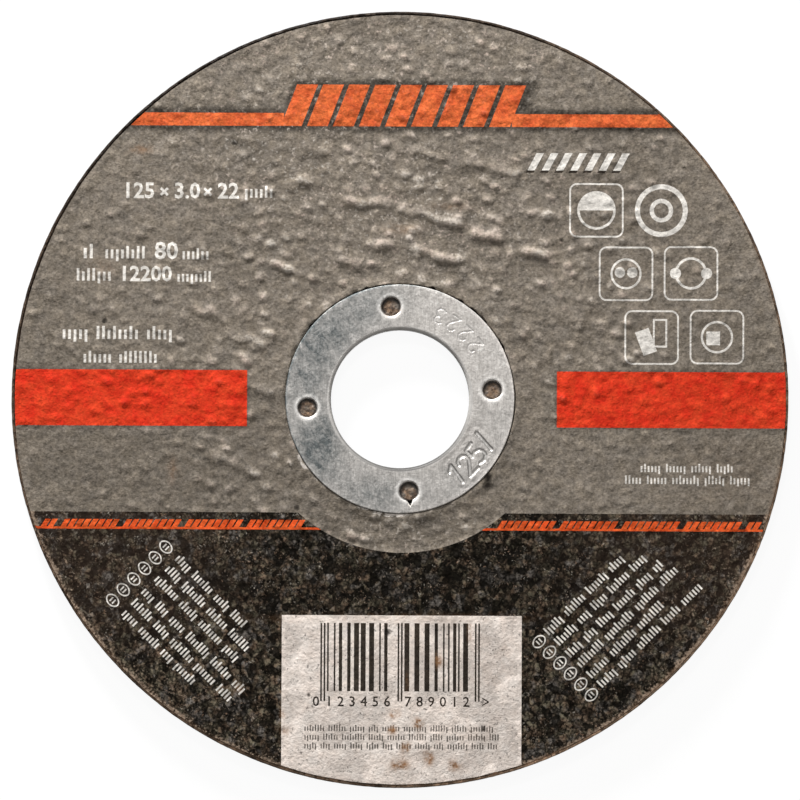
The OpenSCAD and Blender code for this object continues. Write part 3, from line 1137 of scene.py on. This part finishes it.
def from_holes(x, y):
    """Distance to the middle of the nearest pierced hole."""
    return np.min([np.hypot(x - cx, y - cy) for cx, cy in HOLE_CENTRES], axis=0)


def add_seat(patches):
    """The wall of the bore, the seat of the ring and the rough plugs that rise into its holes."""
    bore = [(COLLAR_R, 0), (COLLAR_R, FLANGE_BACK - BEND_R), (COLLAR_R + BEND_R, FLANGE_BACK)]
    patches.strip(turned_rows(bore, SEAT_COUNT))
    plugs = [circle(HOLE_R, PLUG_COUNT, c) for c in HOLE_CENTRES]
    seat = [circle(SEAT_R, SEAT_COUNT), circle(COLLAR_R + BEND_R, SEAT_COUNT)]
    patches.flat(*triangulate(seat + plugs), FLANGE_BACK)
    top = FLANGE_BACK + PLUG_RISE
    for i, (loop, centre) in enumerate(zip(plugs, HOLE_CENTRES)):
        grid = hex_grid(HOLE_R - 0.1, PLUG_STEP)
        grid = grid[np.hypot(*grid.T) < HOLE_R - 0.12] + centre
        points, triangles = triangulate([loop], [], grid)
        rough = 0.09 * fractal(*points.T, 0.7, 131 + i, 3)
        rough *= np.hypot(*(points - centre).T) < HOLE_R - 0.02
        patches.flat(points, triangles, top + rough, FILLING)
        patches.strip([lifted(loop, FLANGE_BACK), lifted(loop, top)], FILLING)


def add_rim(patches):
    """The ledge under the label and the rough cutting edge. Returns the loop where the back begins."""
    patches.flat(*triangulate([circle(LABEL_R, RIM_COUNT), circle(SEAT_R, SEAT_COUNT)]), FLANGE_BACK)
    profile = [(LABEL_R, FLANGE_BACK), (LABEL_R, RIM_TOP - 0.03)]
    profile += arc((RIM_MIDDLE_R, RIM_TOP - RIM_R), RIM_R, 90, 0, 4)
    profile += [(WHEEL_R, z) for z in np.linspace(RIM_TOP - RIM_R, RIM_R, 10)[1:-1]]
    profile += arc((RIM_MIDDLE_R, RIM_R), RIM_R, 0, -90, 4)
    turn = around(RIM_COUNT)
    rows = []
    for r, z in profile:
        grain = fractal(turn * WHEEL_R, np.full_like(turn, z), 0.9, 141, 2)
        worn_r = r - np.clip(0.02 - 0.03 * grain, 0, 0.06) * (r > LABEL_R)
        rows.append(lifted(polar(turn, worn_r), z))
    patches.strip(rows)
    return rows[-1][:, :2]


def add_back(patches, edge):
    """The back, with the shallow pattern of a glass net under resin."""
    grid = hex_grid(WHEEL_R, BACK_STEP)
    grid = grid[between(grid, COLLAR_R + 0.4, RIM_MIDDLE_R - 0.75)]
    points, triangles = triangulate([edge, circle(COLLAR_R, SEAT_COUNT)], [], grid)
    x, y = points.T
    radius = np.hypot(x, y)
    free = ramp(RIM_MIDDLE_R - 0.7, RIM_MIDDLE_R - 1.6, radius) * ramp(COLLAR_R, COLLAR_R + 1, radius)
    rough = 0.35 * (1 + fractal(x, y, 1.3, 151, 2))
    gaps = np.clip(1 - net_thread(x, y)[1] + 0.4 * rough - 0.2, 0, 1.3)
    patches.flat(points, triangles, NET_DEPTH * free * gaps, BACK)


def make_disc():
    patches = Patches()
    add_seat(patches)
    add_back(patches, add_rim(patches))
    piece = patches.build("bonded_disc", [bonded_grain(), bare_back(), hole_filling()], math.radians(60))
    x, y = places_of(piece).T
    radius = np.hypot(x, y)
    # painted shadow by the holes' walls, shifted so that it is widest on the top side of each hole
    away = from_holes(x, y + 0.18) + 0.1 * noise(x, y, 0.6, 171)
    store(piece, thread=net_thread(x, y)[0], wall=ramp(HOLE_R - 0.5, HOLE_R - 0.05, away),
          worn=(0.03 + 0.97 * worn_side(x, y)) * (radius > LABEL_R - 1),
          bald=ramp(0.55, 0.95, (0.65 * x - 0.76 * y) / radius))
    return piece


# The centre ring

# Strokes of the plain numbers stamped in the ring, in a box of height 1
STROKES = {
    "1": [[(0.12, 0.78), (0.36, 1.0), (0.36, 0.0)]],
    "2": [[(0.02, 0.76), (0.08, 0.92), (0.24, 1.0), (0.42, 0.98), (0.56, 0.84), (0.54, 0.64), (0.40, 0.44),
           (0.02, 0.0), (0.60, 0.0)]],
    "3": [[(0.03, 0.90), (0.22, 1.0), (0.44, 0.97), (0.55, 0.80), (0.48, 0.61), (0.28, 0.53), (0.50, 0.44),
           (0.60, 0.24), (0.46, 0.04), (0.22, 0.0), (0.02, 0.10)]],
    "5": [[(0.54, 1.0), (0.10, 1.0), (0.05, 0.56), (0.28, 0.62), (0.50, 0.52), (0.58, 0.31), (0.50, 0.10),
           (0.28, 0.0), (0.03, 0.09)]],
    "/": [[(0.08, 0.0), (0.48, 1.0)]],
}
# Text, middle angle in degrees, step in degrees, middle radius, height, depth, half width of a stroke
STAMPS = [("125/", -40.0, 9.0, 15.1, 3.3, 0.15, 0.42), ("2223", 50.0, 9.6, 14.8, 2.4, 0.04, 0.20)]
STAMP_STEP = 0.10
FACE_STEP = 0.42
RING_COUNT = 220
CHAMFER = 0.06
# Areas of the ring's face where a dark bluish reflection is painted, as spots
DARK_REFLECTION_SPOTS = [(-13, -8, 5, 6, 1.0), (-15, 4, 5, 7, 0.7), (-11, 11, 6, 5, 0.66), (-4, 15.5, 6, 4, 0.58),
           (-4, -15.5, 7, 4, 0.64), (9, -14, 6, 5, 0.28), (16, -3, 5, 7, 0.15)]
# Rust at the mouths of the pierced holes, one by one
HOLE_RUST = (0.1, 1.0, 0.4, 0.2)


def stamp_strokes():
    """Line pieces of the stamped numbers: both ends, depth and half width."""
    pieces = []
    for text, middle, step, radius, height, depth, half in STAMPS:
        for i, mark in enumerate(text):
            angle = math.radians(middle + (i - (len(text) - 1) / 2) * step)
            onward = np.array((-math.sin(angle), math.cos(angle)))
            inward = -np.array((math.cos(angle), math.sin(angle)))
            corner = -inward * radius - 0.3 * height * onward - 0.5 * height * inward
            for stroke in STROKES[mark]:
                places = [corner + height * (x * onward + y * inward) for x, y in stroke]
                pieces += [(a, b, depth, half) for a, b in zip(places, places[1:])]
    return pieces


def stamp_depth(points):
    """How deep the stamps press in each point of the ring's face, and how far it is into a stroke."""
    sunk = np.zeros(len(points))
    share = np.zeros(len(points))
    for away, depth, half in along_lines(points, stamp_strokes()):
        groove = ramp(half, half * 0.25, away)
        dish = 0.2 * np.exp(-((away / half - 2.6) / 0.9) ** 2)
        sunk = np.maximum(sunk, depth * np.maximum(groove, dish))
        share = np.maximum(share, groove)
    return sunk, share


def hole_outline(index, spare, count=56):
    """The outline of a pierced hole, wider by spare; one hole is torn outwards."""
    turn = around(count)
    reach = np.full(count, HOLE_R + spare)
    if index == TORN_HOLE:
        off = np.abs((turn + math.pi) % TAU - math.pi) / TEAR_HALF_ANGLE
        reach += TEAR_L * np.clip(1 - off, 0, 1)
    return turned(polar(turn, reach), HOLE_ANGLES[index], HOLE_CENTRES[index])


def hole_outlines(spare):
    return [hole_outline(i, spare) for i in range(len(HOLE_ANGLES))]


def outer_edge(radius):
    """1 at the outer edge of the flange, 0 elsewhere."""
    return ramp(FLANGE_R - 0.25, FLANGE_R - 0.1, radius)


def ring_tarnish(x, y):
    """How far the ring is painted with a dark bluish reflection: in patches, mostly at the left, and as
    painted shade on the outer edge at the upper left.
    """
    radius = np.hypot(x, y)
    edge = outer_edge(radius) * ramp(-0.2, 0.6, (0.8 * y - 0.6 * x) / radius)
    return np.clip(hills(x, y, DARK_REFLECTION_SPOTS) + 0.5 * edge, 0, 1)


def lip_tone(x, y):
    """Painted light and shade on the lip of the bore: palest at the left, darkest in a thin line at the
    bottom.
    """
    radius = np.hypot(x, y)
    up, left = y / radius, -x / radius
    line = 0.5 * ramp(BORE_R + 0.34, BORE_R + 0.14, radius) * ramp(-0.1, -0.6, up)
    pale = 0.85 * (1 - 0.68 * np.clip(-up, 0, 1)) * (1 + 0.6 * np.clip(left, 0, 1))
    return (pale + 0.25 * np.clip(up, 0, 1)) * (1 - line)


def ring_stain(x, y):
    """Rust on the low side of the pierced holes' mouths."""
    stain = np.zeros_like(x)
    for (cx, cy), strength in zip(HOLE_CENTRES, HOLE_RUST):
        away = np.hypot(x - cx, y - cy)
        stain += strength * np.exp(-((away - HOLE_R) / 0.5) ** 2) * ramp(0.6, -1.2, y - cy)
    return np.clip(stain, 0, 1)


def ring_rubbed(x, y):
    """Paler metal round the mouths of the pierced holes: rubbed metal with a painted highlight."""
    return np.exp(-((from_holes(x, y) - HOLE_R - 0.4) / 0.3) ** 2)


def add_face(patches):
    """The ring's face: a little wavy, with fine points round the stamps."""
    fine = hex_grid(FLANGE_R, STAMP_STEP)
    fine = fine[fine[:, 0] > 0]
    near = np.zeros(len(fine), bool)
    for away, _, half in along_lines(fine, stamp_strokes()):
        near |= away < 4.5 * half
    fine = fine[near]
    grid = np.vstack([clear_of(hex_grid(FLANGE_R, FACE_STEP), fine, 0.16), fine])
    grid = grid[between(grid, FACE_INNER_R + 0.12, FACE_OUTER_R - 0.12)]
    grid = grid[~inside_loops(grid, hole_outlines(MOUTH_OPENING + 0.1))]
    edges = [circle(FACE_OUTER_R, RING_COUNT), circle(FACE_INNER_R, RING_COUNT)]
    face, triangles = triangulate(edges + hole_outlines(MOUTH_OPENING), [], grid)
    x, y = face.T
    radius = np.hypot(x, y)
    wave = 0.010 * fractal(x, y, 6.0, 161, 2)
    wave *= ramp(0, 0.4, np.minimum(FACE_OUTER_R - radius, radius - FACE_INNER_R))
    wave *= ramp(HOLE_R + MOUTH_OPENING, HOLE_R + MOUTH_OPENING + 0.3, from_holes(x, y))
    patches.flat(face, triangles, FACE_Z - stamp_depth(face)[0] - np.abs(wave))


def add_collar(patches):
    """The ring's outer edge, its bend and collar, and the back of its flange."""
    edge = arc((FACE_OUTER_R, FACE_Z - DIE_ROLL), DIE_ROLL, 90, 0, 5) + [(FLANGE_R, FLANGE_BACK)]
    patches.strip(turned_rows(edge, RING_COUNT))
    bend = (FACE_INNER_R, FACE_Z - BEND_OUT_R)
    collar = arc(bend, BEND_OUT_R, 90, 180, 9)
    collar += [(BORE_R, COLLAR_END + CHAMFER), (BORE_R + CHAMFER, COLLAR_END)]
    collar += [(COLLAR_R - CHAMFER, COLLAR_END), (COLLAR_R, COLLAR_END + CHAMFER)]
    collar += arc(bend, BEND_R, 180, 90, 4)
    patches.strip(turned_rows(collar, RING_COUNT))
    edges = [circle(FLANGE_R, RING_COUNT), circle(FACE_INNER_R, RING_COUNT)]
    patches.flat(*triangulate(edges + hole_outlines(BARB_ROOT)), FLANGE_BACK)


def add_barbs(patches):
    """The drawn mouths of the pierced holes and the barbs behind them."""
    rows = [(MOUTH_OPENING, FACE_Z)]
    for t in np.linspace(MOUTH_ANGLE, math.pi / 2, 7)[1:]:
        rows.append((MOUTH_R * (1 - math.sin(t)), FACE_Z - MOUTH_R * (math.cos(MOUTH_ANGLE) - math.cos(t))))
    rows += [(0.0, FLANGE_BACK - BARB_L), (BARB_TIP, FLANGE_BACK - BARB_L), (BARB_ROOT, FLANGE_BACK)]
    for i in range(len(HOLE_ANGLES)):
        patches.strip([lifted(hole_outline(i, spare), z) for spare, z in rows])


def make_ring():
    patches = Patches()
    add_face(patches)
    add_collar(patches)
    add_barbs(patches)
    piece = patches.build("pressed_ring", [galvanised_steel()], math.radians(38))
    flat = places_of(piece)
    x, y = flat.T
    radius = np.hypot(x, y)
    rubbed = ring_rubbed(x, y)
    # painted highlight: the stamped strokes and the hole mouths are made paler
    store(piece, stain=ring_stain(x, y), rubbed=np.maximum(rubbed, 0.6 * stamp_depth(flat)[1]),
          tarnish=ring_tarnish(x, y), lip_tone=lip_tone(x, y), lip=ramp(BORE_R + 0.7, BORE_R + 0.5, radius),
          edge=np.maximum(outer_edge(radius), 0.8 * rubbed))
    return piece


# Floor, light and camera

FRAME_WIDTH = 128.56
CAMERA_AWAY = 1.2
CAMERA_LIFT = math.radians(87.6)
CAMERA_SENSOR = 36.0
PHOTO_SIZE = 800
WHEEL_PIXEL = (399.96, 398.85)
FLOOR_HALF = 1.5
FLOOR_Z = -0.1 * MM
FLOOR_WHITE = 0.93
STUDIO_LEVEL = 0.05
# Glows of the studio: direction, how narrow and how strong
GLOWS = [((-0.25, 0.45, 1.0), 6.0, 0.86), ((0.45, -0.6, 0.5), 4.0, 0.26)]


def make_floor():
    mesh = bpy.data.meshes.new("floor")
    corners = lifted(box_loop(-FLOOR_HALF, -FLOOR_HALF, FLOOR_HALF, FLOOR_HALF), FLOOR_Z)
    mesh.from_pydata(corners, [], [(0, 1, 2, 3)])
    s = material("white_floor")
    path = s.node("LightPath", {})
    seen = s.math("MAXIMUM", path.outputs["Is Camera Ray"], path.outputs["Is Glossy Ray"])
    seen = s.math("MAXIMUM", seen, path.outputs["Is Transmission Ray"])
    mesh.materials.append(s.finish(
        Base_Color=rgb(0.10, 0.10, 0.10), Roughness=0.9, Specular_IOR_Level=0.0,
        Emission_Color=rgb(1, 1, 1), Emission_Strength=s.times(seen, FLOOR_WHITE)))
    add_object("floor", mesh)


def make_world():
    """A pale studio, brightest overhead a little towards the back left."""
    world = bpy.data.worlds.new("studio")
    bpy.context.scene.world = world
    s = Shader(world, "Background", "Generated")
    level = STUDIO_LEVEL
    for direction, narrow, strength in GLOWS:
        inputs = {0: s.place, 1: Vector(direction).normalized()}
        facing = s.node("VectorMath", inputs, operation="DOT_PRODUCT").outputs["Value"]
        glow = s.math("POWER", s.math("MAXIMUM", facing, 0.0), narrow)
        level = s.math("MULTIPLY_ADD", glow, strength, level)
    s.finish(Color=rgb(1.0, 0.985, 0.965), Strength=level)


def make_lamp(name, place, size, power):
    light = bpy.data.lights.new(name, "AREA")
    light.shape = "DISK"
    light.size = size
    light.energy = power
    lamp = add_object(name, light)
    lamp.location = place
    lamp.rotation_euler = (-Vector(place)).to_track_quat("-Z", "Y").to_euler()


def make_camera():
    data = bpy.data.cameras.new("camera")
    data.sensor_width = CAMERA_SENSOR
    data.sensor_fit = "HORIZONTAL"
    data.lens = CAMERA_SENSOR * CAMERA_AWAY / (FRAME_WIDTH * MM)
    data.shift_x = (PHOTO_SIZE / 2 - WHEEL_PIXEL[0]) / PHOTO_SIZE
    data.shift_y = (WHEEL_PIXEL[1] - PHOTO_SIZE / 2) / PHOTO_SIZE
    camera = add_object("camera", data)
    offset = Vector((0, -math.cos(CAMERA_LIFT), math.sin(CAMERA_LIFT))) * CAMERA_AWAY
    camera.location = Vector((0, 0, FACE_Z * MM)) + offset
    camera.rotation_euler = (-offset).to_track_quat("-Z", "Y").to_euler()
    bpy.context.scene.camera = camera


bpy.context.scene.view_settings.view_transform = "Standard"
make_floor()
make_world()
make_lamp("key", (-0.155, 0.47, 0.14), 0.10, 6.3)
make_lamp("gleam", (-0.085, 0.485, 0.63), 0.10, 1.1)
make_camera()

for make, node, slot in ((make_label, "label", "label_paper"), (make_disc, "abrasive_disc", "abrasive"),
                         (make_ring, "centre_ring", "ring_steel")):
    piece = make()
    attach(piece, "root")
    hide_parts(node)
